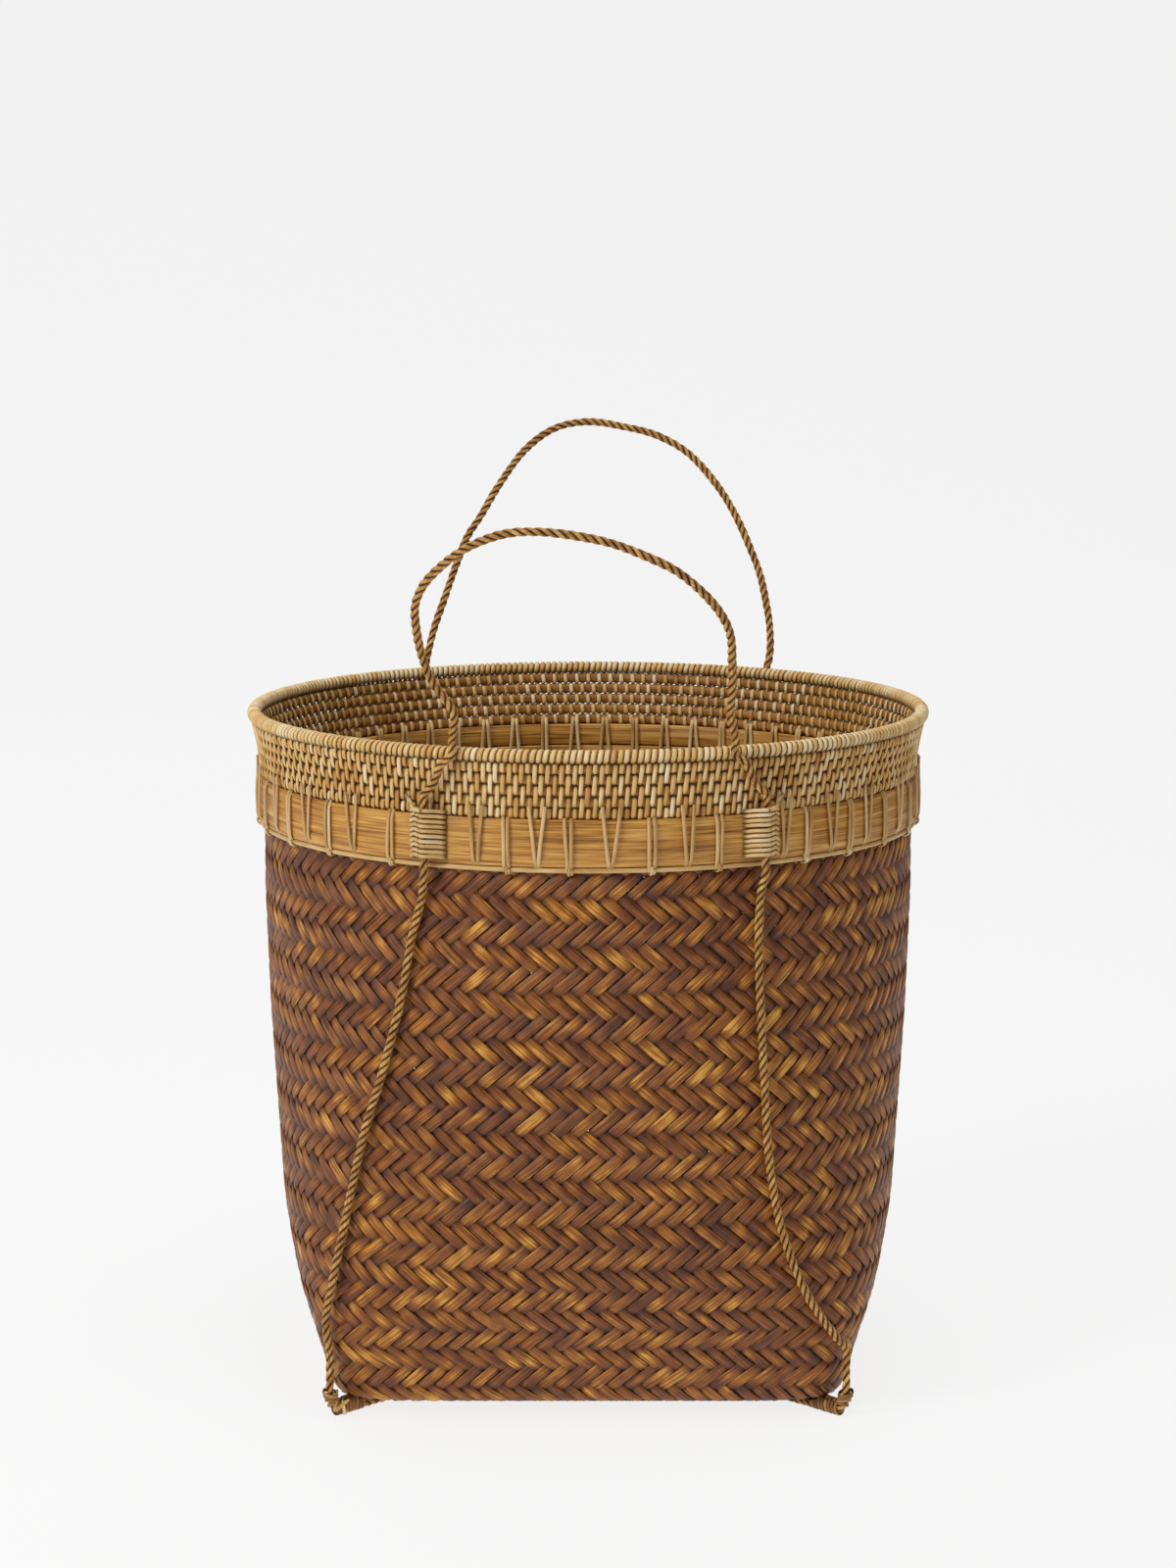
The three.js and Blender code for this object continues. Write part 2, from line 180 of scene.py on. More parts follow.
# Split bamboo hoop: the pale inner wood of the culm, satin, with long brown fibres
splitBamboo = plantStrand(
    "split bamboo hoop",
    [(0.0, "#6a3b10"), (0.3, "#a86e26"), (0.55, "#c88e3a"), (0.8, "#dba855"), (1.0, "#e8c27a")],
    {"across": 1.1, "lengthMm": 45, "patchAcross": 0.35, "patchMm": 60, "fibre": 1.2, "patch": 0.8,
     "tint": 0.0, "wearAndPaintedLight": 0.0, "spread": 0.42},
    {"roughness": 0.45, "bump": 0.3}, {"low": 0.0, "high": 1.0, "dark": 0.45}, 0.05)
# Rattan skin strand: pale glossy skin of the vine, split and shaved flat
rattanSkin = plantStrand(
    "rattan skin strand",
    [(0.0, "#9a6a34"), (0.35, "#c79a58"), (0.65, "#dcb77a"), (1.0, "#f0dbb0")],
    {"across": 4, "lengthMm": 16, "patchAcross": 0.5, "patchMm": 24, "fibre": 0.6, "patch": 0.5, "tint": 0.5,
     "wearAndPaintedLight": 0.12, "spread": 0.5},
    {"roughness": 0.4, "bump": 0.25}, {"low": -0.7, "high": 0.6, "dark": 0.4}, 0.1)
# Dark rattan strand: binds the rope at the corners of the base; its loops under the corner also stand in for
# the shade beneath the raised base (painted shade)
cornerRattanAndShade = plantStrand(
    "corner rattan and shade strand",
    [(0.0, "#3c200c"), (0.35, "#6e4318"), (0.65, "#9c6a2c"), (1.0, "#cc9a54")],
    {"across": 6, "lengthMm": 14, "patchAcross": 0.5, "patchMm": 20, "fibre": 0.8, "patch": 0.5, "tint": 0.6,
     "wearAndPaintedLight": 0.12, "spread": 0.5},
    {"roughness": 0.5, "bump": 0.4}, {"low": -0.4, "high": 0.6, "dark": 0.25})
# Rattan collar strand: the same skin, less even, so some strands are browner
rattanCollar = plantStrand(
    "rattan collar strand",
    [(0.0, "#7a4719"), (0.25, "#ad7430"), (0.55, "#d29e50"), (0.8, "#e8c07c"), (1.0, "#f8e3b4")],
    {"across": 4, "lengthMm": 14, "patchAcross": 0.5, "patchMm": 22, "fibre": 0.5, "patch": 0.4, "tint": 0.8,
     "wearAndPaintedLight": 0.1, "spread": 0.52},
    {"roughness": 0.42, "bump": 0.25}, {"low": -0.7, "high": 0.7, "dark": 0.3}, 0.1)
# Cane rod: round core of the vine, dull and darker where it is shaded by its wrapping
caneCore = plantStrand(
    "cane core rod",
    [(0.0, "#5a3613"), (0.4, "#96642c"), (0.7, "#b5813f"), (1.0, "#cfa05c")],
    {"across": 6, "lengthMm": 22, "patchAcross": 0.5, "patchMm": 40, "fibre": 0.7, "patch": 0.5, "tint": 0.2,
     "wearAndPaintedLight": 0.0, "spread": 0.45},
    {"roughness": 0.55, "bump": 0.3}, {"low": 0.0, "high": 1.0, "dark": 0.6})
# Twisted plant fibre rope: dull brown bast with golden fibres, with painted highlight on the tops of the
# plies and painted shade in the grooves between them
bastRope = plantStrand(
    "twisted bast rope",
    [(0.0, "#3f1f09"), (0.3, "#83501d"), (0.6, "#bb8236"), (0.85, "#e6b564"), (1.0, "#f8dc9c")],
    {"across": 7, "lengthMm": 12, "patchAcross": 0.6, "patchMm": 30, "fibre": 0.9, "patch": 0.5, "tint": 0.15,
     "wearAndPaintedLight": 0.3, "spread": 0.5},
    {"roughness": 0.6, "bump": 0.8}, {"low": 0.0, "high": 0.85, "dark": 0.12})
print("materials made")


# Strand tools
mostCuts = 90  # one subdivide call takes few more than this
blankCuts = 40  # a longer blank is cut twice, so its length is a whole number of these


def makeBlank(sides, segments):
    # A capped rod along Z, cut into equal lengths: the blank that every strand is bent from.
    deselectAll()
    bpy.ops.mesh.primitive_cylinder_add(
        vertices=sides, radius=1, depth=1, end_fill_type="NGON", location=(0, 0, 0.5))
    rod = bpy.context.object
    bpy.ops.object.transform_apply(location=True)
    for pieces in ((segments,) if segments <= mostCuts else (blankCuts, segments // blankCuts)):
        bpy.ops.object.mode_set(mode="EDIT")
        bpy.ops.mesh.select_mode(type="EDGE")
        bpy.ops.mesh.select_all(action="DESELECT")
        work = bmesh.from_edit_mesh(rod.data)
        for edge in work.edges:
            a, b = edge.verts
            edge.select_set(abs(a.co.z - b.co.z) > 1e-5)
        bmesh.update_edit_mesh(rod.data)
        bpy.ops.mesh.subdivide(number_cuts=pieces - 1)
        bpy.ops.object.mode_set(mode="OBJECT")
    co = np.array([v.co for v in rod.data.vertices])
    angle = np.arctan2(co[:, 1], co[:, 0])
    around = ((angle + math.pi / 2) / (2 * math.pi)) % 1.0
    around[around > 0.999] = 0
    faces = [tuple(p.vertices) for p in rod.data.polygons]
    loopU = []
    for face in faces:
        us = [around[i] for i in face]
        wraps = max(us) - min(us) > 0.5 and len(face) == 4
        loopU += [u + 1 if wraps and u < 0.5 else u for u in us]
    blank = {
        "ring": np.rint(co[:, 2] * segments).astype(int), "cos": np.cos(angle), "sin": np.sin(angle),
        "faces": faces, "loopU": np.array(loopU), "loopVertex": np.array([i for face in faces for i in face]),
        "count": len(co),
    }
    bpy.data.objects.remove(rod)
    return blank


def unit(vectors):
    return vectors / np.maximum(np.linalg.norm(vectors, axis=-1, keepdims=True), 1e-12)


def layStrands(name, material, blank, centres, normals, width, thickness, lift=None, tint=None,
               crown=0.0, turn=0.0, seenBothSides=False):
    # Bends copies of the blank along many centre lines and keeps them as one piece.
    count, rings = centres.shape[:2]
    tangents = unit(np.gradient(centres, axis=1))
    sides = unit(np.cross(normals, tangents))
    outs = np.cross(tangents, sides)
    wide = np.broadcast_to(np.asarray(width, float), (count, rings)) / 2
    thick = np.broadcast_to(np.asarray(thickness, float), (count, rings)) / 2
    at = blank["ring"]
    points = centres[:, at]
    points = points + sides[:, at] * (wide[:, at] * blank["cos"])[..., None]
    points = points + outs[:, at] * (thick[:, at] * blank["sin"])[..., None]
    lengths = np.linalg.norm(np.diff(centres, axis=1), axis=2)
    along = np.concatenate([np.zeros((count, 1)), np.cumsum(lengths, axis=1)], axis=1)
    starts = chance.random(count) * 9
    faces = []
    for i in range(count):
        base = i * blank["count"]
        faces += [tuple(v + base for v in face) for face in blank["faces"]]
    mesh = bpy.data.meshes.new(name)
    mesh.from_pydata(points.reshape(-1, 3).tolist(), [], faces)
    uv = np.empty((count, len(blank["loopU"]), 2))
    uv[..., 0] = blank["loopU"] + np.arange(count)[:, None] * 3
    uv[..., 1] = (along[:, at] + starts[:, None])[:, blank["loopVertex"]]
    uv[..., 0] += turn * uv[..., 1]
    mesh.uv_layers.new(name="strand").data.foreach_set("uv", uv.astype(np.float32).ravel())
    tints = chance.random(count) if tint is None else tint
    lifts = np.ones((count, rings)) if lift is None else lift
    # These heights drive the painted shade and painted highlight: the lift at each ring, darker towards the
    # strand's edges by the crown.
    heights = lifts[:, at] + crown * (blank["sin"] - 1)
    if seenBothSides:  # a strip that dives on the outside stands proud on the inside
        heights = lifts[:, at] * np.where(blank["sin"] < -0.1, -1, 1) + crown * (np.abs(blank["sin"]) - 1)
    for label, values in (("tint", np.repeat(tints, blank["count"])), ("lift", heights.ravel())):
        mesh.attributes.new(label, "FLOAT", "POINT").data.foreach_set("value", values.astype(np.float32))
    mesh.polygons.foreach_set("use_smooth", np.ones(len(faces), bool))
    mesh.materials.append(material)
    mesh.update()
    piece = bpy.data.objects.new(name, mesh)
    bpy.context.collection.objects.link(piece)
    return piece


def addRing(name, material, radius, z, thickness, tall=1.0):
    # One closed hoop of rod, round or taller than it is thick.
    deselectAll()
    bpy.ops.mesh.primitive_torus_add(
        major_radius=radius, minor_radius=thickness / 2, major_segments=160, minor_segments=10,
        location=(0, 0, z), generate_uvs=True)
    ring = bpy.context.object
    ring.name = name
    ring.scale.z = tall
    bpy.ops.object.transform_apply(location=True, scale=True)
    bpy.ops.object.shade_smooth()
    layer = ring.data.uv_layers[0]
    layer.name = "strand"
    for loop in layer.data:  # across in turns, along in metres
        loop.uv = (loop.uv[1], loop.uv[0] * 2 * math.pi * radius)
    ring.data.materials.append(material)
    addFlat(ring, random.random())
    return ring


def addFlat(piece, tint):
    size = len(piece.data.vertices)
    for label, value in (("tint", tint), ("lift", 1.0)):
        attribute = piece.data.attributes.new(label, "FLOAT", "POINT")
        attribute.data.foreach_set("value", np.full(size, value, np.float32))


def keep(piece, slot, *nodes, body="basket"):
    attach(piece, body)
    if nodes:
        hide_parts(*nodes)
    return piece


# Wall shape
wall = {
    "outline": [  # share of the height, share from base half-width to mouth, squareness (2 is round)
        (0, 0, 10), (0.039, 0.067, 9), (0.099, 0.222, 7), (0.191, 0.511, 4.4), (0.314, 0.744, 2.95),
        (0.467, 0.833, 2.6), (0.65, 0.933, 2.3), (0.865, 1, 2.1), (1, 1, 2),
    ],
    "baseHalfWidth": 0.155,
    "thickness": 0.003,
    "baseRise": 0.0095,
    "riseEdge": 0.72,       # share of the base half-width at which its rise begins
    "smoothing": 0.016,
}


def outlineAt(z, column):
    shares = [row[0] for row in wall["outline"]]
    values = [row[column] for row in wall["outline"]]
    return np.interp((np.asarray(z) - baseZ) / (bandBottom - baseZ), shares, values)


def squareFactor(angle, exponent):
    return (np.abs(np.cos(angle)) ** exponent + np.abs(np.sin(angle)) ** exponent) ** (-1 / exponent)


def wallRadius(angle, z):
    half = wall["baseHalfWidth"] + (bodyRadius - wall["baseHalfWidth"]) * outlineAt(z, 1)
    return half * squareFactor(angle, outlineAt(z, 2))


def makeWallTable():
    # The wall as half-width, height and squareness along its own slant, from under the base to the top.
    heights = np.linspace(baseZ, bandTop - 0.004, 400)
    half = wall["baseHalfWidth"] + (bodyRadius - wall["baseHalfWidth"]) * outlineAt(heights, 1)
    under = np.linspace(-0.02, -0.0005, 20)
    halves = np.concatenate([half[0] + under, half]) - wall["thickness"] / 2
    zs = np.concatenate([np.full(20, baseZ), heights])
    zs = np.maximum(zs, baseZ + wall["thickness"] / 2)
    powers = np.concatenate([np.full(20, 10.0), outlineAt(heights, 2)])
    slant = np.concatenate([[0], np.cumsum(np.hypot(np.diff(halves), np.diff(zs)))])
    even = np.linspace(0, slant[-1], 700)
    width = max(1, int(wall["smoothing"] / (even[1] - even[0])))
    rows = []
    for values in (halves, zs, powers):
        flat = np.interp(even, slant, values)
        padded = np.concatenate([2 * flat[0] - flat[width:0:-1], flat, 2 * flat[-1] - flat[-2:-width - 2:-1]])
        kernel = np.hanning(2 * width + 3)[1:-1]
        rows.append(np.convolve(padded, kernel / kernel.sum(), "valid"))
    return even, rows


wallSlant, (wallHalf, wallZ, wallPower) = makeWallTable()
girthSteps = 720  # places round the wall at which the angle is kept
angles = np.linspace(0, 2 * math.pi, 2 * girthSteps + 1)
girthShare = []
for power in wallPower:
    push = squareFactor(angles, power)
    steps = np.hypot(np.diff(push * np.cos(angles)), np.diff(push * np.sin(angles)))
    run = np.concatenate([[0], np.cumsum(steps)])
    girthShare.append(np.interp(np.linspace(0, 1, girthSteps + 1), run / run[-1], angles))
girthShare = np.array(girthShare)


def wallPoint(turn, slant, out=0.0):
    # turn runs once round the wall by length, slant runs up it, out is off the middle of the plaiting
    row = np.interp(slant, wallSlant, np.arange(len(wallSlant)))
    low = np.clip(np.floor(row).astype(int), 0, len(wallSlant) - 2)
    part = row - low
    column = (turn % 1.0) * girthSteps
    left = np.clip(np.floor(column).astype(int), 0, girthSteps - 1)
    side = column - left
    atLow = girthShare[low, left] * (1 - side) + girthShare[low, left + 1] * side
    atHigh = girthShare[low + 1, left] * (1 - side) + girthShare[low + 1, left + 1] * side
    angle = atLow * (1 - part) + atHigh * part
    half = np.interp(slant, wallSlant, wallHalf)
    power = np.interp(slant, wallSlant, wallPower)
    radius = half * squareFactor(angle, power)
    z = np.interp(slant, wallSlant, wallZ)
    return np.stack([radius * np.cos(angle), radius * np.sin(angle), z], axis=-1)


def wallNormal(turn, slant):
    across = wallPoint(turn + 0.0008, slant) - wallPoint(turn - 0.0008, slant)
    up = wallPoint(turn, slant + 0.0015) - wallPoint(turn, slant - 0.0015)
    return unit(np.cross(across, up))


# Plaited body
plait = {
    "strips": 116,          # in each direction
    "stripWidth": 0.0073,
    "stripThickness": 0.0012,
    "rowStep": 0.00466,     # height of one crossing
    "lift": 0.0007,
    # crown: painted shade towards the edges of each strip
    "crown": 0.12,
    "cuts": 160,            # along a wall strip
    "wander": 0.009,
    "basePitch": 0.0076,    # between neighbouring base strips
    "baseCuts": 84,
    "shortest": 0.012,      # half the length under which a base strip is left out
    "over": 3,              # strips that a float passes over
    "baseInset": 0.0095,    # how far inside the edge the base strips end
    "phase": -0.5,          # crossings before the first change of side; a half keeps changes between strips
    "firstRow": 0.0013,     # where the crossings start, measured from 20 mm under the base
}


def twillLift(crossing):
    # +1 on top of the other strips, -1 below them
    return np.sin((crossing + plait["phase"]) * math.pi / plait["over"])


def plaitWall():
    rings = plait["cuts"] + 1
    blank = makeBlank(6, plait["cuts"])
    rows = (wallSlant[-1] - plait["firstRow"]) / plait["rowStep"]
    crossing = np.linspace(0, rows, rings)
    slant = plait["firstRow"] + crossing * plait["rowStep"]
    for hand, word in ((1, "rising_right"), (-1, "rising_left")):
        halves = np.array_split(np.arange(plait["strips"]), 2)
        for part, group in enumerate(halves):
            offset = np.cumsum(chance.normal(0, plait["wander"], (len(group), rings)), axis=1)
            offset = np.clip(offset - offset.mean(axis=1, keepdims=True), -0.1, 0.1)
            turn = (2 * group[:, None] + hand * crossing[None] + offset) / (2 * plait["strips"])
            slants = np.broadcast_to(slant, turn.shape)
            # The wave also sets the painted shade and highlight on each float: dark where it dives, light
            # where it stands proud.
            wave = hand * twillLift(crossing)[None] * np.ones_like(turn)
            lift = np.clip(1.8 * wave, -1, 1)
            normal = wallNormal(turn, slants)
            centre = wallPoint(turn, slants) + normal * (lift * plait["lift"])[..., None]
            spread = 1 + chance.normal(0, 0.03, (len(group), 1)) + 0.02 * lift
            piece = layStrands(
                f"wall_strips_{word}_{part + 1}", smokedBamboo, blank, centre, normal,
                plait["stripWidth"] * spread, plait["stripThickness"], wave,
                crown=plait["crown"], seenBothSides=True)
            keep(piece, "bamboo_weave", *(["woven_body"] if hand == 1 and part == 0 else []))
    print("wall plaited:", 2 * plait["strips"], "strips")


def plaitBase():
    blank = makeBlank(6, plait["baseCuts"])
    half = wall["baseHalfWidth"] - plait["baseInset"]
    pitch = plait["basePitch"]
    across = np.arange(-27, 28) * pitch
    reach = half * math.sqrt(2) - np.abs(across)
    good = reach > plait["shortest"]
    across, reach = across[good], reach[good]
    along = np.linspace(-1, 1, plait["baseCuts"] + 1)[None] * reach[:, None]
    for hand, word in ((1, "a"), (-1, "b")):
        x = (along - across[:, None]) / math.sqrt(2)
        y = (along + across[:, None]) / math.sqrt(2) * hand
        far = np.maximum(np.abs(x), np.abs(y)) / wall["baseHalfWidth"]
        rise = np.clip((wall["riseEdge"] - far) / wall["riseEdge"], 0, 1)
        z = baseZ + wall["thickness"] / 2 + wall["baseRise"] * rise * rise * (3 - 2 * rise)
        steps = along / pitch
        index = np.rint(across / pitch)[:, None]
        # Known fault: the second direction needs -0.5 and no change of sign to be opposite at every crossing.
        wave = hand * np.sin((steps + index + 0.5) * math.pi / plait["over"])
        lift = np.clip(1.35 * wave, -1, 1)
        centre = np.stack([x, y, z - lift * plait["lift"]], axis=-1)
        normal = np.zeros_like(centre)
        normal[..., 2] = -1
        # The lift also sets the painted shade and highlight on the base strips, and the crown darkens their
        # edges.
        piece = layStrands(
            f"base_strips_{word}", smokedBamboo, blank, centre, normal,
            plait["stripWidth"] * 1.05, plait["stripThickness"], lift,
            crown=plait["crown"], seenBothSides=True)
        keep(piece, "bamboo_weave")
    print("base plaited")


# Bands
hoopThickness = 0.0028
thinHoop = 0.0024
hoopGap = 0.0004  # from the middle of the band to either inner hoop


def bendHoop(name, radius, thickness, bottom, top):
    deselectAll()
    bpy.ops.mesh.primitive_cylinder_add(
        vertices=180, radius=radius + thickness / 2, depth=top - bottom, end_fill_type="NOTHING",
        location=(0, 0, (top + bottom) / 2))
    hoop = bpy.context.object
    hoop.name = name
    bpy.ops.object.transform_apply(location=True)
    bpy.ops.object.mode_set(mode="EDIT")
    bpy.ops.mesh.select_all(action="SELECT")
    bpy.ops.mesh.subdivide(number_cuts=1)
    bpy.ops.object.mode_set(mode="OBJECT")
    uv = hoop.data.uv_layers[0]
    uv.name = "strand"
    for polygon in hoop.data.polygons:
        turns = []
        for index in polygon.vertices:
            co = hoop.data.vertices[index].co
            turns.append(math.atan2(co.y, co.x))
        wraps = max(turns) - min(turns) > math.pi
        for turn, loop, index in zip(turns, polygon.loop_indices, polygon.vertices):
            turn = turn + 2 * math.pi if wraps and turn < 0 else turn
            z = hoop.data.vertices[index].co.z
            uv.data[loop].uv = ((z - bandBottom) * 1000, turn * radius)
    solid = hoop.modifiers.new("thickness", "SOLIDIFY")
    solid.thickness = thickness
    solid.offset = -1
    bevel = hoop.modifiers.new("worn edges", "BEVEL")
    bevel.width = 0.0008
    bevel.segments = 2
    bevel.limit_method = "ANGLE"
    for modifier in ("thickness", "worn edges"):
        bpy.ops.object.modifier_apply(modifier=modifier)
    bpy.ops.object.shade_smooth_by_angle(angle=math.radians(50))
    hoop.data.materials.append(splitBamboo)
    addFlat(hoop, 0.55)
    return hoop


# Stitches
stitch = {
    # degrees from the middle of the front, as they sit on this basket; the rest are evenly spaced
    "front": [-42.1, -34.1, -18.4, -13.2, -8.2, -3, 3.6, 10.3, 16.4, 21.6, 33.8, 38.5, 44.4, 48.8],
    "spacing": 6,
    "strandWidth": 0.0024,
    "strandThickness": 0.0013,
    "knotWidth": 0.0019,
    "ringThickness": 0.003,
    "ringDrop": 0.0019,
}


def onRing(angle, radius, z):
    # angle is measured from the front, towards +X
    return np.stack([radius * np.sin(angle), -radius * np.cos(angle), z + 0 * angle], axis=-1)


def sewBands():
    blank = makeBlank(6, 7)
    part = np.linspace(0, 1, 8)
    ringZ = bandBottom - stitch["ringDrop"]
    ringRadius = bodyRadius + 0.0018
    behind = np.arange(stitch["front"][-1] + 5, 360 + stitch["front"][0] - 3, stitch["spacing"])
    places = np.radians(stitch["front"] + list(behind))
    outer, inner, knots = [], [], []
    for i, middle in enumerate(places):
        knotted = i % 2 == 1
        foot, head = (0.0013, 0.0015) if knotted else (0.0009, 0.0043)
        head += chance.normal(0, 0.0004)
        lean = chance.normal(0, 0.0009)
        for hand in (-1, 1):
            top = bandTop + (0.001 if knotted else 0.0078)
            bottom = ringZ if knotted else bandBottom - 0.0005
            z = bottom + part * (top - bottom)
            shift = hand * (foot + (head - foot) * part) + lean * part + hand * 0.0003 * np.sin(part * 3 + i)
            radius = bandRadius + 0.0009 + 0.0006 * np.sin(part * math.pi)
            radius[0] -= 0.0012 if knotted else 0.0022
            radius[-1] -= 0.0016 if knotted else -0.0004
            outer.append(onRing(middle + shift / bandRadius, radius, z))
            insideZ = bandBottom + 0.0008 + part * (bandTop - bandBottom + 0.004)
            insideRadius = np.full(8, innerBandHigh.x - 0.0042)
            insideRadius[0] += 0.0022
            insideRadius[-1] += 0.001
            spread = hand * (0.0012 + (0.0026 if i % 3 else 0.0005) * (1 - part))
            inner.append(onRing(middle + 0.05 + spread / bandRadius, insideRadius, insideZ))
        if knotted:
            knots.append(middle)
    for name, rows, hand, node in (("outer_stitches", outer, 1, "outer_stitching"),
                                   ("inner_stitches", inner, -1, "inner_stitching")):
        centres = np.array(rows)
        normals = centres * hand
        normals[..., 2] = 0
        piece = layStrands(name, rattanSkin, blank, centres, unit(normals),
                           stitch["strandWidth"], stitch["strandThickness"])
        keep(piece, "rattan_binding", node)
    knotBlank = makeBlank(6, 22)
    turn = np.linspace(-0.4, 4 * math.pi + 0.2, 23)
    rows, normals = [], []
    for middle in knots:
        swing = 0.0026 + 0.0003 * np.sin(turn * 0.5)
        out = ringRadius + swing * np.cos(turn)
        shift = (turn - 2 * math.pi) * 0.00026
        rows.append(onRing(middle + shift / bodyRadius, out, ringZ + swing * np.sin(turn)))
        normals.append(unit(rows[-1] - onRing(middle + shift / bodyRadius, ringRadius + 0 * turn, ringZ)))
    piece = layStrands("ring_knots", rattanSkin, knotBlank, np.array(rows), np.array(normals),
                       stitch["knotWidth"], 0.0012)
    keep(piece, "rattan_binding")
    ring = addRing("binding_ring", rattanSkin, ringRadius, ringZ, stitch["ringThickness"])
    keep(ring, "rattan_binding", "lower_binding_ring")
    print("bands sewn:", len(places), "stitches")


# Collar
collar = {
    "columns": 340,
    "strandWidth": 0.0028,
    "innerStrandWidth": 0.0028,
    "strandThickness": 0.0013,
    "rodThickness": 0.0036,
    "rodTall": 1.75,        # flattened by its wrapping, so that hardly any light comes through
    "lean": 0.0006,         # sideways for each rod covered
    "rimLean": 0.0019,
    "rimRodThickness": 0.006,
    "rimWrapWidth": 0.0031,
    "rimWrapProud": 0.00055,  # from the rim rod's surface to the middle of its wrapping
    # top and bottom rod under each strand, in even and in odd columns
    "bricks": [[(5, 4), (3, 2), (1, 1)], [(5, 5), (4, 3), (2, 1)]],
}
rodZs = [(low.z + high.z) / 2 for low, high in rodBoxes]
rodRadii = [high.x - collar["rodThickness"] / 2 for low, high in rodBoxes]
rimZ = (rodLow.z + rodHigh.z) / 2
rimRadius = rodHigh.x - collar["rimRodThickness"] / 2


def collarRadius(z):
    return np.interp(z, rodZs + [rimZ], rodRadii + [rimRadius])


def coverRods(top, bottom, hand):
    # Path over rods top..bottom (1 is the lowest) as radius and height; it dives in at both ends.
    half = (rodZs[1] - rodZs[0]) / 2
    z = np.linspace(rodZs[top - 1] + half * 0.95, rodZs[bottom - 1] - half * 0.95, 9)
    proud = collar["rodThickness"] / 2 + collar["strandThickness"] * 0.45
    inset = np.array([0.0021, 0.0004, 0, -0.0001, 0, -0.0001, 0, 0.0004, 0.0021])
    return collarRadius(z) + hand * (proud - inset), z


def weaveCollar():
    blank = makeBlank(6, 8)
    part = np.linspace(0, 1, 9)
    outer, inner = [], []
    for column in range(collar["columns"]):
        middle = column * 2 * math.pi / collar["columns"]
        insides = [(rod, rod) for rod in range(1, 6) if (rod + column) % 2]
        for rows, bricks, hand in ((outer, collar["bricks"][column % 2], 1), (inner, insides, -1)):
            for top, bottom in bricks:
                radius, z = coverRods(top, bottom, hand)
                lean = (0.5 - part) * collar["lean"] * (top - bottom + 1) / bodyRadius
                rows.append(onRing(middle + lean + chance.normal(0, 0.0009), radius, z))
    for name, rows, hand, node in (("collar_strands_outside", outer, 1, "collar_weave_outer"),
                                   ("collar_strands_inside", inner, -1, "collar_weave_inner")):
        centres = np.array(rows)
        normals = centres * hand
        normals[..., 2] = 0
        count = len(rows)
        tints = slowTint(centres[:, 4], 0.72, 0.16)
        # Painted shade at both ends of each strand, where it dives behind the rods; the crown darkens its
        # edges.
        lift = np.broadcast_to(np.array([-0.8, 0.5, 1, 1, 1, 1, 1, 0.5, -0.8]), (count, 9))
        width = collar["strandWidth"] if hand == 1 else collar["innerStrandWidth"]
        piece = layStrands(name, rattanCollar, blank, centres, unit(normals),
                           width * (1 + chance.normal(0, 0.06, (count, 1))),
                           collar["strandThickness"], lift, tints, crown=0.35)
        keep(piece, "rattan_weave", node)
    for i, (z, radius) in enumerate(zip(rodZs, rodRadii)):
        rod = addRing(f"collar_rod_cane_{i + 1}", caneCore, radius, z,
                      collar["rodThickness"], collar["rodTall"])
        keep(rod, "cane_rod", f"collar_rod_{i + 1}")
    rod = addRing("rim_cane", caneCore, rimRadius, rimZ, collar["rimRodThickness"])
    keep(rod, "cane_rod", "rim_rod")
    wrapRim()
    print("collar woven")


def slowTint(places, middle, spread):
    # Strands cut from one vine sit together, so the tint drifts along the collar.
    turn = np.arctan2(places[:, 1], places[:, 0])
    broad = 0.13 * np.sin(turn * 3 + 1.9) * np.sin(places[:, 2] * 160 + turn * 5)
    drift = broad + 0.08 * np.sin(turn * 11 + 4)
    return np.clip(middle + drift + chance.normal(0, spread, len(turn)), 0, 1)


def wrapRim():
    blank = makeBlank(6, 12)
    turn = np.radians(np.linspace(-68, 234, 13))
    rows = []
    for column in range(collar["columns"]):
        middle = column * 2 * math.pi / collar["columns"] + chance.normal(0, 0.0006)
        tube = collar["rimRodThickness"] / 2 + collar["rimWrapProud"]
        shift = middle + (turn - math.pi / 2) / math.pi * collar["rimLean"] / rimRadius
        rows.append(onRing(shift, rimRadius + tube * np.cos(turn), rimZ + tube * np.sin(turn)))
    centres = np.array(rows)
    heart = unit(centres * [1, 1, 0]) * rimRadius + [0, 0, rimZ]
    tints = slowTint(centres[:, 6], 0.9, 0.13)
    # Painted shade at both ends of each wrap, where it goes under the rim rod; the crown darkens its edges.
    lift = np.broadcast_to(np.concatenate([[-0.6, 0.1, 0.6], np.ones(7), [0.6, 0.1, -0.6]]), (len(rows), 13))
    piece = layStrands("rim_wrapping", rattanCollar, blank, centres, unit(centres - heart),
                       collar["rimWrapWidth"], 0.0015, lift, tints, crown=0.5)
    keep(piece, "rattan_weave", "rim_wrap")


# Ropes
rope = {"diameter": 0.0052, "lay": 0.017, "plies": 3, "plyThickness": 0.0027, "step": 0.00115}
ropeRadius = rope["diameter"] / 2
ropeClearance = 0.0008
padRadius = bandRadius + 0.0006 + 0.0022 + ropeRadius + ropeClearance
besideRim = rimHigh.x + ropeRadius + ropeClearance
hingeZ = hinges["front_handle"]["pos_m"][2]
footRadius = float(wallRadius(math.pi / 4, baseZ + 0.03)) + ropeRadius + ropeClearance + 0.0024

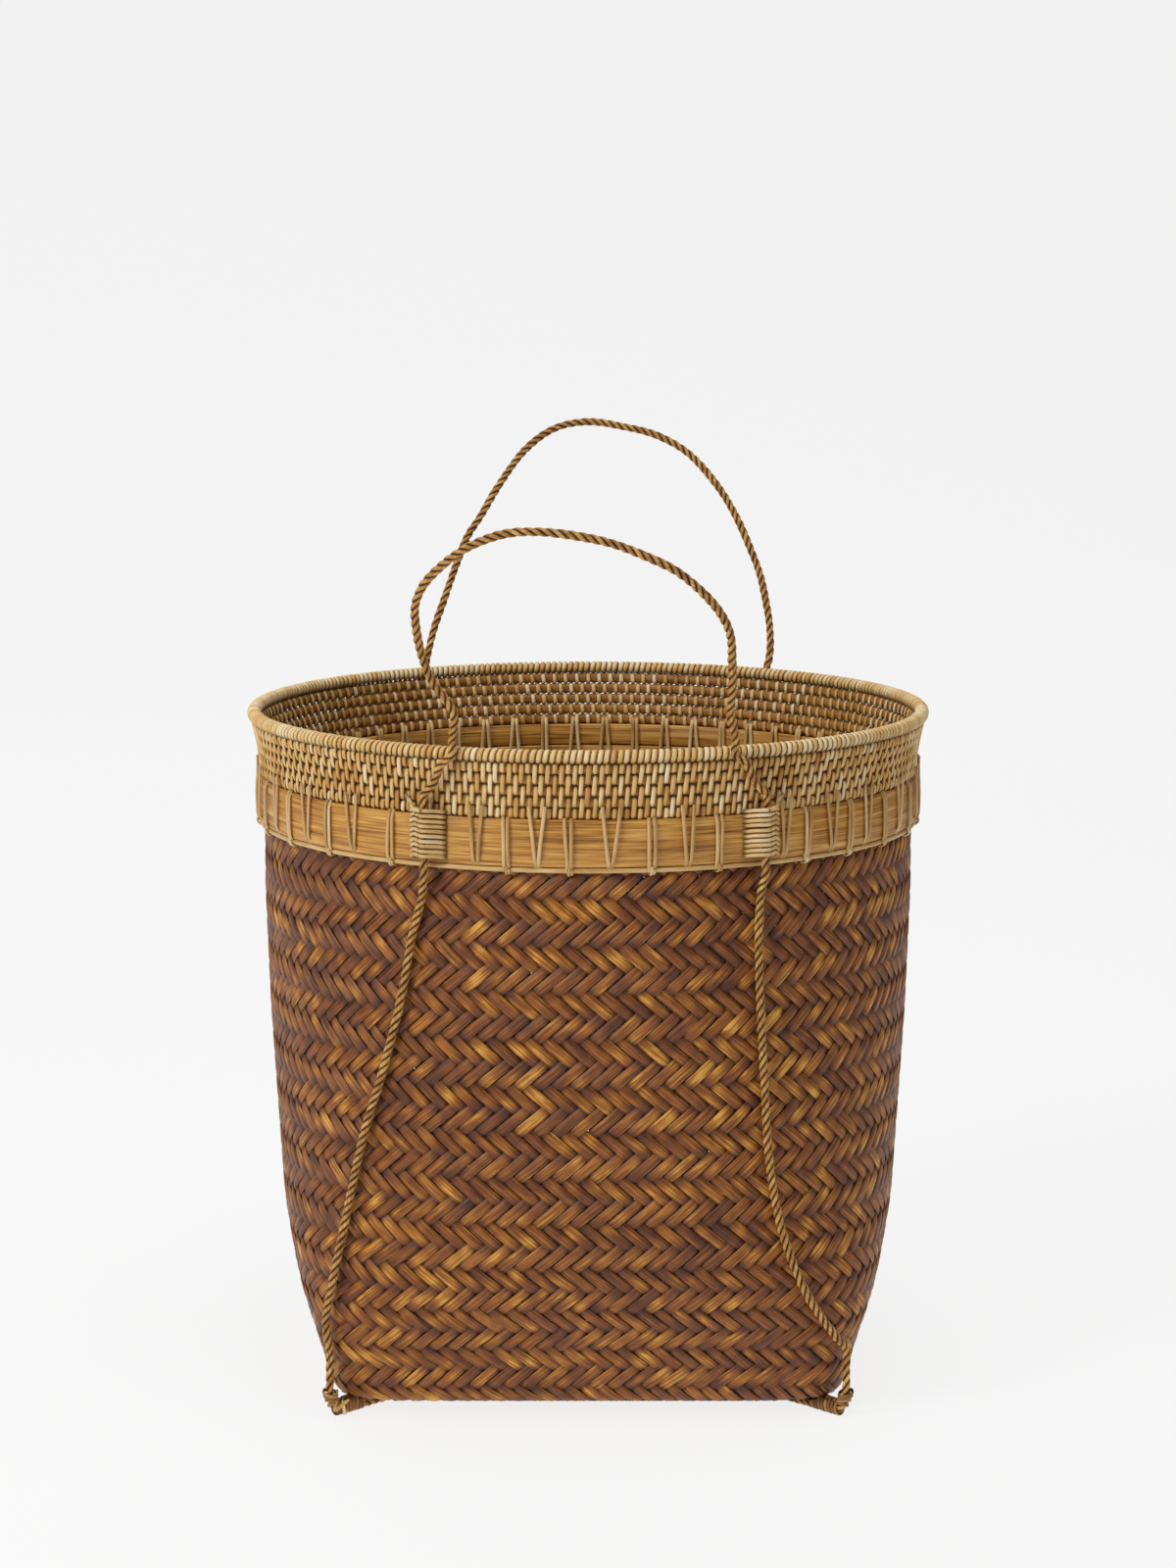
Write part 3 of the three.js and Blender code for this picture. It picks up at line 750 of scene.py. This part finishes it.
# Routes on the wall: degrees from the middle of the near face, share of the way from floor to
# band, and stand-off in millimetres.
legs = {
    "front_left": {"hand": -1, "facing": -1, "pad": 26.7, "route": [
        (27.8, 0.94, 0.4), (29.5, 0.87, 0.2), (31.4, 0.765, 0.2), (35, 0.625, 0.3),
        (38.4, 0.515, 0.4), (41.6, 0.37, 0.5), (43.4, 0.25, 1), (44.8, 0.17, 1.8)]},
    "front_right": {"hand": 1, "facing": -1, "pad": 29.2, "route": [
        (29.1, 0.945, 0.4), (28.5, 0.87, 0.2), (28.8, 0.75, 0.2), (29.5, 0.615, 0.2),
        (30.4, 0.48, 0.3), (32.6, 0.355, 0.5), (36.6, 0.24, 0.9), (41.6, 0.16, 1.6)]},
    "back_left": {"hand": -1, "facing": 1, "pad": 35.2, "route": [
        (35.4, 0.94, 0.4), (35.6, 0.85, 0.2), (36.8, 0.7, 0.2), (38.8, 0.55, 0.3),
        (41, 0.4, 0.4), (43, 0.27, 0.8), (44.6, 0.17, 1.8)]},
    "back_right": {"hand": 1, "facing": 1, "pad": 36.2, "route": [
        (36, 0.94, 0.4), (35.4, 0.85, 0.2), (36.2, 0.7, 0.2), (37.9, 0.55, 0.3),
        (40.2, 0.4, 0.4), (42.4, 0.27, 0.8), (44.4, 0.17, 1.8)]},
}
# Loop handles in their own plane, millimetres sideways and up from the hinge.
loops = {
    "front_handle": {"lean": 30, "facing": -1, "ends": ("front_left", "front_right"), "line": [
        (-77, 0), (-76, 20), (-87, 41), (-92.5, 59), (-95.5, 80), (-95.5, 95), (-91, 108), (-81, 121),
        (-66, 134), (-46, 143), (-28, 144.5), (-8, 142), (12, 137), (30, 129), (48, 118.5), (62, 105),
        (73, 90), (79, 75), (80.5, 55), (81, 35), (80.5, 18), (84, 0)]},
    "back_handle": {"lean": 22, "facing": 1, "ends": ("back_left", "back_right"), "line": [
        (-107, 0), (-102, 22), (-95.5, 42), (-88, 65), (-80, 86), (-72.5, 98), (-59, 122), (-41, 147),
        (-22, 161), (0, 165.5), (24, 162), (46, 156), (67, 143.5), (87, 120), (99, 99), (108.4, 76.5),
        (114.5, 59), (118, 42), (120.5, 25), (121, 10), (120, 0)]},
}


def aroundPoint(degrees, radius, z, facing):
    angle = math.radians(degrees)
    return Vector((radius * math.sin(angle), facing * radius * math.cos(angle), z))


def overCollar(leg, hingeX, hingeY):
    # Points from the pad up over the collar to just below the hinge.
    pad = leg["pad"]
    rim = math.degrees(math.atan2(abs(hingeX), abs(hingeY)))
    height = rimTop - bandTop
    rows = [
        (pad, padRadius, bandBottom + 0.012), (pad, padRadius, padTop), (pad, padRadius, padTop + 0.007),
        (pad + (rim - pad) * 0.32, max(float(collarRadius(bandTop + 0.46 * height)) + 0.0065, padRadius),
         bandTop + 0.46 * height),
        (pad + (rim - pad) * 0.68, besideRim, bandTop + 0.76 * height),
        (rim, besideRim, hingeZ - 0.0078),
    ]
    return [aroundPoint(leg["hand"] * degrees, radius, z, leg["facing"]) for degrees, radius, z in rows]


def downWall(leg):
    # Points from inside the pad down the wall and under the corner.
    pad = leg["pad"]
    rows = [(pad, padRadius, bandBottom + 0.016), (pad, padRadius, padBottom),
            (pad, padRadius, padBottom - 0.008)]
    for degrees, share, stand in leg["route"]:
        z = share * bandBottom
        radius = float(wallRadius(math.radians(90 - degrees), z)) + ropeRadius + ropeClearance + stand / 1000
        rows.append((degrees, radius, z))
    foot = footRadius
    rows += [(45, foot, 0.042), (45, foot, 0.031), (45, foot, 0.014), (45, foot - 0.0018, 0.008),
             (45, foot - 0.005, 0.0044), (45, foot - 0.01, ropeRadius), (45, foot - 0.024, ropeRadius)]
    return [aroundPoint(leg["hand"] * degrees, radius, z, leg["facing"]) for degrees, radius, z in rows]


def smoothLine(points, step):
    # Centripetal curve through the points, then evenly spaced.
    given = np.array([list(p) for p in points])
    given = np.concatenate([[2 * given[0] - given[1]], given, [2 * given[-1] - given[-2]]])
    fine = []
    for p0, p1, p2, p3 in zip(given[:-3], given[1:-2], given[2:-1], given[3:]):
        t1 = np.linalg.norm(p1 - p0) ** 0.5
        t2 = t1 + np.linalg.norm(p2 - p1) ** 0.5
        t3 = t2 + np.linalg.norm(p3 - p2) ** 0.5
        t = np.linspace(t1, t2, 24, endpoint=False)[:, None]
        a1 = (t1 - t) / t1 * p0 + t / t1 * p1
        a2 = (t2 - t) / (t2 - t1) * p1 + (t - t1) / (t2 - t1) * p2
        a3 = (t3 - t) / (t3 - t2) * p2 + (t - t2) / (t3 - t2) * p3
        b1 = (t2 - t) / t2 * a1 + t / t2 * a2
        b2 = (t3 - t) / (t3 - t1) * a2 + (t - t1) / (t3 - t1) * a3
        fine.append((t2 - t) / (t2 - t1) * b1 + (t - t1) / (t2 - t1) * b2)
    fine = np.concatenate(fine + [given[-2:-1]])
    run = np.concatenate([[0], np.cumsum(np.linalg.norm(np.diff(fine, axis=0), axis=1))])
    cuts = blankCuts * max(1, round(run[-1] / step / blankCuts))
    even = np.linspace(0, run[-1], cuts + 1)
    return np.stack([np.interp(even, run, fine[:, k]) for k in range(3)], axis=1), run[-1]


def carriedFrame(line):
    # A normal carried along the line without twist.
    tangents = unit(np.gradient(line, axis=0))
    normal = np.cross(tangents[0], [0.3, 0.5, 0.81])
    normals = []
    for tangent in tangents:
        normal = normal - tangent * np.dot(normal, tangent)
        normal = normal / np.linalg.norm(normal)
        normals.append(normal)
    return tangents, np.array(normals)


def twistRope(name, points):
    line, length = smoothLine(points, rope["step"])
    tangents, normals = carriedFrame(line)
    binormals = np.cross(tangents, normals)
    along = np.linspace(0, length, len(line))
    uneven = 0.35 * np.sin(along * 31) + 0.25 * np.sin(along * 77 + 2)
    swing = rope["diameter"] / 2 - rope["plyThickness"] / 2
    plies, outward = [], []
    for ply in range(rope["plies"]):
        turn = 2 * math.pi * (along / rope["lay"] + ply / rope["plies"]) + uneven
        offset = normals * np.cos(turn)[:, None] + binormals * np.sin(turn)[:, None]
        plies.append(line + offset * swing)
        outward.append(offset)
    blank = makeBlank(8, len(line) - 1)
    thickness = rope["plyThickness"] * (1 + 0.06 * np.sin(along * 140))
    # crown 1.0 paints shade in the grooves between the plies and highlight on their tops.
    piece = layStrands(name, bastRope, blank, np.array(plies), np.array(outward), thickness, thickness,
                       tint=np.array([0.3, 0.55, 0.75]), crown=1.0, turn=150)
    return piece, line, length


def makeSling(name, start, end, arch, node):
    down = downWall(legs[start])
    up = downWall(legs[end])[::-1]
    middle = []
    hand = legs[start]["hand"]
    for share in (-0.36, -0.14, 0, 0.14, 0.36):
        along = share * 1.8 * footRadius * math.sqrt(0.5)
        lift = arch * math.exp(-((share / 0.12) ** 2))
        middle.append(Vector((-hand * along, along, ropeRadius + lift)))
    piece, _, length = twistRope(name, down + middle + up)
    keep(piece, "rope", node)
    print(name, "rope length", round(length, 3))


def makeHandle(name, node):
    loop = {**loops[name], "hingeY": hinges[name]["pos_m"][1]}
    lean = math.radians(loop["lean"])
    up = Vector((0, loop["facing"] * math.sin(lean), math.cos(lean)))
    points = [Vector((x / 1000, loop["hingeY"], hingeZ)) + up * (rise / 1000) for x, rise in loop["line"]]
    left = overCollar(legs[loop["ends"][0]], loop["line"][0][0] / 1000, loop["hingeY"])
    right = overCollar(legs[loop["ends"][1]], loop["line"][-1][0] / 1000, loop["hingeY"])
    piece, line, length = twistRope(f"{name}_rope", left + points + right[::-1])
    piece.name = f"{name}_twisted_rope"
    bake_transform(piece)
    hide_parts(node)
    print(name, "rope length", round(length, 3))


# Lashings
pad = {"rows": 10, "halfWidth": 0.0113, "crown": 0.0078, "strandWidth": 0.0023, "strandThickness": 0.0017}


def layAgainst(place, degrees, rows):
    # Turns rows of (sideways, out, z) at one place of the wall into lines and normals.
    leg = legs[place]
    outward = np.array(aroundPoint(degrees * leg["hand"], 1, 0, leg["facing"]))
    sideways = np.cross([0, 0, 1], outward)
    centres, normals = [], []
    for x, out, z in rows:
        centre = outward * out[:, None] + sideways * x[:, None] + np.array([0, 0, 1]) * (z + 0 * x)[:, None]
        step = np.gradient(centre, axis=0)
        bend = np.gradient(out) / np.maximum(np.abs(np.gradient(x)), 0.0004) * np.sign(np.gradient(x) + 1e-9)
        centres.append(centre)
        normals.append(unit(outward - sideways * np.clip(bend, -2, 2)[:, None]))
    return np.array(centres), np.array(normals)


def lashPad(place):
    # Figure of eight turns: strands from the left and from the right cross over the rope in a zigzag.
    blank = makeBlank(6, 16)
    seat = bandRadius + 0.0012
    pitch = (padTop - padBottom - 0.001) / pad["rows"]
    t = np.linspace(0, 1, 17)
    over = -0.0025  # the zigzag lies off the middle, to the outside of the handle
    mirror = legs[place]["hand"] * legs[place]["facing"]

    def surface(x):
        return seat + pad["crown"] * np.exp(-((np.abs(x) / 0.0075) ** 3))

    rows = []
    for k in range(pad["rows"]):
        top = padTop - 0.0008 - k * pitch + chance.normal(0, 0.00012)
        x = -pad["halfWidth"] + (pad["halfWidth"] + over + 0.004) * t
        out = surface(x) + np.where(t < 0.72, 0.0007, -0.0011) - 0.0025 * (t < 0.03)
        rows.append((x, out, top - pitch * 0.8 + 0.0026 * np.sin(t * 2.6)
                     - 0.0016 * (t > 0.62) * (t - 0.62) * 3))
        x = pad["halfWidth"] - (pad["halfWidth"] - over + 0.004) * t
        out = surface(x) + np.where(t < 0.7, 0.0007, -0.0009) - 0.0025 * (t < 0.03)
        rows.append((x, out, top - pitch * 0.66 + 0.0013 * np.sin(t * 3.0)
                     + 0.0016 * (t > 0.6) * (t - 0.6) * 3))
    x = np.linspace(-0.003, -0.0135, 17)
    rows.append((x, surface(x) + 0.0016, padTop - 0.0026 + 0.009 * t ** 1.3))
    x = np.linspace(0.001, -0.011, 17)
    rows.append((x, surface(x) + 0.0022, padTop - 0.0012 + 0.0018 * t))
    rows = [(x * mirror, out, z) for x, out, z in rows]
    centres, normals = layAgainst(place, legs[place]["pad"], rows)
    tints = np.clip(chance.normal(0.72, 0.12, len(rows)), 0, 1)
    # Painted shade at the ends of each strand, where it tucks under; the crown darkens its edges.
    wave = np.interp(t, [0, 0.08, 0.2, 0.62, 0.8, 1], [-0.6, 0.4, 1, 1, 0.2, -0.7])
    piece = layStrands(f"pad_strands_{place}", rattanSkin, blank, centres, normals,
                       pad["strandWidth"], pad["strandThickness"],
                       np.broadcast_to(wave, (len(rows), 17)), tints, crown=0.3)
    keep(piece, "rattan_binding", f"lashing_pad_{place}")


corner = {
    "turns": 4,
    "loops": 8,
    "bottom": 0.0065,
    "height": 0.0095,
    "strandWidth": 0.0025,
    "strandThickness": 0.0013,
    # cut ends of pale rattan at the left corners: start sideways, rise, reach sideways
    "ends": [(0.0035, 0.0125, -0.001), (0.0045, 0.0085, 0.0085), (0.0125, 0.0065, -0.0055)],
}


def lashCorner(place):
    # A few turns hold the rope where it goes under, and loops tie it to the base beside the corner; these
    # dark loops also fill the gap under the raised base, standing in for the shade there (painted shade).
    leg = legs[place]
    outward = np.array(aroundPoint(45 * leg["hand"], 1, 0, leg["facing"]))
    inward = np.cross([0, 0, 1], outward) * leg["hand"] * leg["facing"]
    blank = makeBlank(6, 20)
    t = np.linspace(0, 1, 21)
    up = np.array([0, 0, 1])
    rows, normals = [], []
    for k in range(corner["turns"]):
        angle = 2 * math.pi * t + 2.4 + k * 0.8
        z = corner["bottom"] + corner["height"] * (k + 0.5) / corner["turns"] + 0.0013 * np.sin(angle + k)
        drop = np.interp(z, [0.004, 0.008, 0.014], [0.005, 0.0018, 0.0])
        direction = outward * np.cos(angle)[:, None] + inward * np.sin(angle)[:, None]
        middle = outward * (footRadius - drop)[:, None] + direction * (0.0033 + 0.0003 * k)
        rows.append(middle + up * z[:, None])
        normals.append(direction)
    for k in range(corner["loops"]):
        angle = 2 * math.pi * t + k * 0.9
        reach = footRadius - 0.0055 - 0.0026 * k + 0.0008 * np.sin(angle * 0.5)
        direction = inward * np.cos(angle)[:, None] + up * np.sin(angle)[:, None]
        middle = outward * reach[:, None] + up * 0.0052
        rows.append(middle + inward * (0.0034 * np.cos(angle))[:, None]
                    + up * (0.0046 * np.sin(angle))[:, None])
        normals.append(direction)
    tints = np.clip(chance.normal(0.5, 0.2, len(rows)), 0, 1)
    piece = layStrands(f"corner_strands_{place}", cornerRattanAndShade, blank, np.array(rows), np.array(normals),
                       corner["strandWidth"], corner["strandThickness"], tint=tints, crown=0.5)
    keep(piece, "rattan_binding", f"corner_lashing_{place}")
    if leg["hand"] > 0:
        return
    rows, normals = [], []
    for along, rise, reach in corner["ends"]:
        base = outward * (footRadius - 0.0005) + inward * along + up * 0.0045
        rows.append(base + (inward * reach - outward * 0.003)[None] * t[:, None]
                    + up * (rise * t ** 0.8)[:, None])
        normals.append(np.broadcast_to(unit(outward + up * 0.2), rows[-1].shape))
    taper = np.interp(t, [0, 0.7, 1], [1, 0.9, 0.35])
    # The crown adds painted shade towards the edges of these cut ends.
    ends = layStrands(f"corner_ends_{place}", rattanSkin, blank, np.array(rows), np.array(normals),
                      0.003 * taper, 0.0012, crown=0.3)
    keep(ends, "rattan_binding")


# Set
light = {
    "fill": 0.2,
    "paperGlow": 0.82,
    "paperColour": "#656565",
    "boxes": [
        ("left_softbox", (-2.2, -1.8, 1.9), (0, 0, 0.25), 1.2, 46),
        ("right_softbox", (2.4, -1.5, 1.5), (0, 0, 0.2), 1.0, 4),
        ("top_softbox", (0.2, -0.4, 2.8), (0, 0, 0.2), 1.4, 22),
    ],
}
camera = {"distance": 2.4, "height": 0.729, "downTilt": 8.8, "lens": 90}


def setStage():
    deselectAll()
    bpy.ops.mesh.primitive_plane_add(size=1, location=(0, 0, 0))
    floor = bpy.context.object
    floor.name = "pale_floor"
    for vertex, (x, y) in zip(floor.data.vertices, ((-5, -6), (1.3, -6), (-5, 5), (1.3, 5))):
        vertex.co = (x, y, 0)
    bpy.ops.object.mode_set(mode="EDIT")
    bpy.ops.mesh.select_mode(type="EDGE")
    bpy.ops.mesh.select_all(action="DESELECT")
    work = bmesh.from_edit_mesh(floor.data)
    for edge in work.edges:
        edge.select_set(all(v.co.y > 4 for v in edge.verts))
    bmesh.update_edit_mesh(floor.data)
    bpy.ops.mesh.extrude_region_move(TRANSFORM_OT_translate={"value": (0, 0, 7)})
    bpy.ops.object.mode_set(mode="OBJECT")
    bevel = floor.modifiers.new("sweep", "BEVEL")
    bevel.width = 2.5
    bevel.segments = 16
    bevel.limit_method = "ANGLE"
    bpy.ops.object.modifier_apply(modifier="sweep")
    bpy.ops.object.shade_smooth()
    paper = bpy.data.materials.new("matt background paper")
    paper.use_nodes = True
    shader = paper.node_tree.nodes["Principled BSDF"]
    shader.inputs["Base Color"].default_value = linear(light["paperColour"])
    shader.inputs["Roughness"].default_value = 0.9
    shader.inputs["Emission Color"].default_value = (1, 1, 1, 1)
    shader.inputs["Emission Strength"].default_value = light["paperGlow"]
    floor.data.materials.append(paper)

    world = bpy.data.worlds.new("studio")
    world.use_nodes = True
    world.node_tree.nodes["Background"].inputs["Color"].default_value = (1, 1, 1, 1)
    world.node_tree.nodes["Background"].inputs["Strength"].default_value = light["fill"]
    bpy.context.scene.world = world
    for name, place, aim, size, power in light["boxes"]:
        bpy.ops.object.light_add(type="AREA", location=place)
        lamp = bpy.context.object
        lamp.name = name
        lamp.data.size = size
        lamp.data.energy = power
        lamp.rotation_euler = (Vector(aim) - Vector(place)).to_track_quat("-Z", "Y").to_euler()


def setCamera():
    bpy.ops.object.camera_add(location=(0, -camera["distance"], camera["height"]),
                              rotation=(math.radians(90 - camera["downTilt"]), 0, 0))
    eye = bpy.context.object
    eye.data.lens = camera["lens"]
    eye.data.sensor_width = 36
    bpy.context.scene.camera = eye


setCamera()
makeHandle("front_handle", "front_handle_rope")
makeHandle("back_handle", "back_handle_rope")
makeSling("sling_rope_lower", "front_left", "back_right", 0.0, "sling_rope_a")
makeSling("sling_rope_upper", "front_right", "back_left", rope["diameter"] + ropeClearance, "sling_rope_b")
plaitWall()
plaitBase()
outerMiddle = (bodyRadius + 0.0003 + bandRadius) / 2
outerHoop = bendHoop("outer_hoop", outerMiddle, hoopThickness, bandBottom, bandTop)
keep(outerHoop, "bamboo_band", "outer_band")
halfway = (bandBottom + bandTop) / 2
upperHoop = bendHoop("inner_hoop_upper", innerBandHigh.x - 0.0015, hoopThickness, halfway + hoopGap, bandTop)
keep(upperHoop, "bamboo_band", "inner_band")
lowerHoop = bendHoop("inner_hoop_lower", innerBandHigh.x - 0.0017, thinHoop, bandBottom, halfway - hoopGap)
keep(lowerHoop, "bamboo_band")
sewBands()
weaveCollar()
for place in legs:
    lashPad(place)
    lashCorner(place)
setStage()

print("pieces ready")
